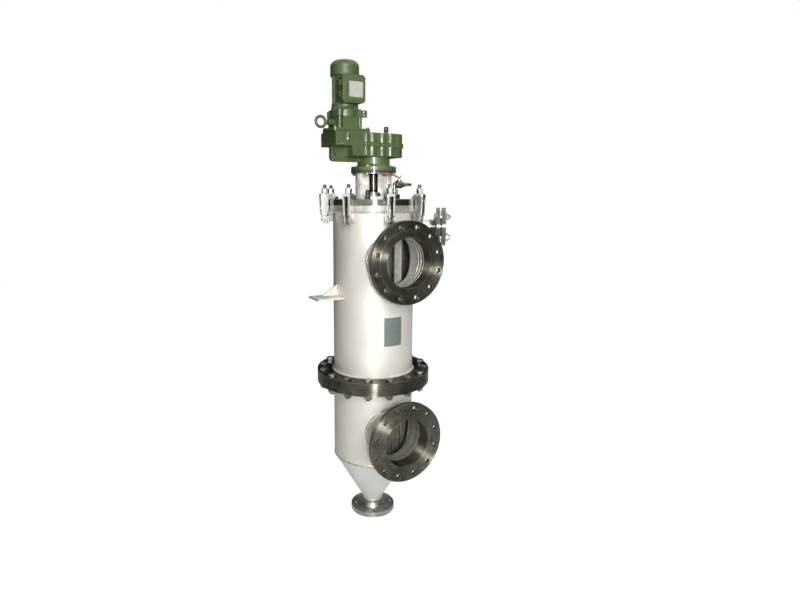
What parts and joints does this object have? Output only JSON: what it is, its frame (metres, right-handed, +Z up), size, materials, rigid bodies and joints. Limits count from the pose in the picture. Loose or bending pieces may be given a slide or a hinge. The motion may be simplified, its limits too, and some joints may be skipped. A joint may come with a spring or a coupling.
{
  "type": "self-cleaning scraper filter",
  "caption": "Upright stainless vessel with a clamped cover, flanged side nozzles, a conical drain end, an inner screen with a rotating scraper, and a geared motor on a lantern.",
  "frame": {"origin": "centre of the drain flange's sealing face at the bottom of the vessel", "axes": "+Z up along the vessel's axis, -Y the way both large nozzles face, +X the other bracket axis, so that the motor stands to -X"},
  "size_m": [0.5977, 0.5525, 2.006],
  "materials": {
    "barrel_steel": "bead blasted",
    "machined_steel": "turned",
    "bright_steel": "polished",
    "bolt_steel": "plain",
    "bracket_steel": "bead blasted",
    "name_metal": "matte",
    "plate_metal": "matte",
    "valve_brass": "nickel plated",
    "lever_red": "semi gloss",
    "gasket_black": "matte",
    "screen_steel": "satin",
    "shaft_steel": "polished",
    "blade_plastic": "matte",
    "green_casting": "satin",
    "green_sheet": "satin",
    "gear_steel": "oiled",
    "black_plastic": "satin"
  },
  "bodies": {
    "vessel": {"body_flange_bolts": "bolt_steel", "body_flanges": "machined_steel", "breather": "black_plastic", "cable_plugs": "green_casting", "clamp_claws": "bright_steel", "clamp_eyebolts": "bright_steel", "clamp_nuts": "bright_steel", "clamp_pins": "bright_steel", "clamp_yokes": "bright_steel", "cover_plate": "machined_steel", "cover_plug": "black_plastic", "cover_seal": "gasket_black", "drain_flange": "machined_steel", "fan_cowl": "green_sheet", "filter_screen": "screen_steel", "flat_gaskets": "gasket_black", "foot_bearing": "screen_steel", "gear_housing_lower": "green_casting", "gear_housing_upper": "green_casting", "lantern": "barrel_steel", "lantern_fixings": "bolt_steel", "lifting_eye": "green_casting", "lower_shell": "barrel_steel", "motor_adapter": "green_casting", "motor_bolts": "green_casting", "motor_end_shield": "green_casting", "motor_frame": "green_casting", "motor_rear_shield": "green_casting", "motor_stator": "gear_steel", "nozzle_flanges": "machined_steel", "nozzle_necks": "barrel_steel", "output_flange": "green_casting", "rolling_bearings": "gear_steel", "shaft_gland": "bright_steel", "shell_nameplate": "name_metal", "side_blind_cover": "machined_steel", "side_nozzle_bolts": "bolt_steel", "side_nozzle_flange": "machined_steel", "side_nozzle_neck": "barrel_steel", "support_brackets": "bracket_steel", "terminal_box": "green_casting", "terminal_lid": "green_casting", "terminal_plate": "plate_metal", "top_ring": "machined_steel", "upper_shell": "barrel_steel", "vent_body": "valve_brass", "vent_elbow": "valve_brass", "vent_union": "valve_brass", "vessel_cone": "barrel_steel"},
    "scraper_rotor": {"drive_shaft": "shaft_steel", "scraper_frame": "shaft_steel", "scraper_blades": "blade_plastic", "output_gear": "gear_steel"},
    "countershaft_body": {"countershaft": "gear_steel"},
    "motor_rotor_body": {"motor_rotor": "gear_steel", "fan": "black_plastic"},
    "vent_handle": {"vent_ball": "valve_brass", "vent_lever": "lever_red", "lever_sleeve": "lever_red", "lever_nut": "bolt_steel"}
  },
  "joints": [
    {"name": "scraper_spin", "type": "hinge", "parent": "vessel", "child": "scraper_rotor", "pos_m": [0, 0, 0.3], "axis": [0, 0, 1], "continuous": true},
    {"name": "counter_spin", "type": "hinge", "parent": "vessel", "child": "countershaft_body", "pos_m": [-0.08, 0, 1.65], "axis": [0, 0, 1], "continuous": true},
    {"name": "motor_spin", "type": "hinge", "parent": "vessel", "child": "motor_rotor_body", "pos_m": [-0.1375, 0, 1.75], "axis": [0, 0, 1], "continuous": true},
    {"name": "vent_turn", "type": "hinge", "parent": "vessel", "child": "vent_handle", "pos_m": [0.06, -0.1135, 1.504], "axis": [0, 0, 1], "range_deg": [0, 90]}
  ],
  "couplings": [
    {"joint": "counter_spin", "follows": "scraper_spin", "ratio": -3.9231},
    {"joint": "motor_spin", "follows": "scraper_spin", "ratio": 14.123}
  ]
}
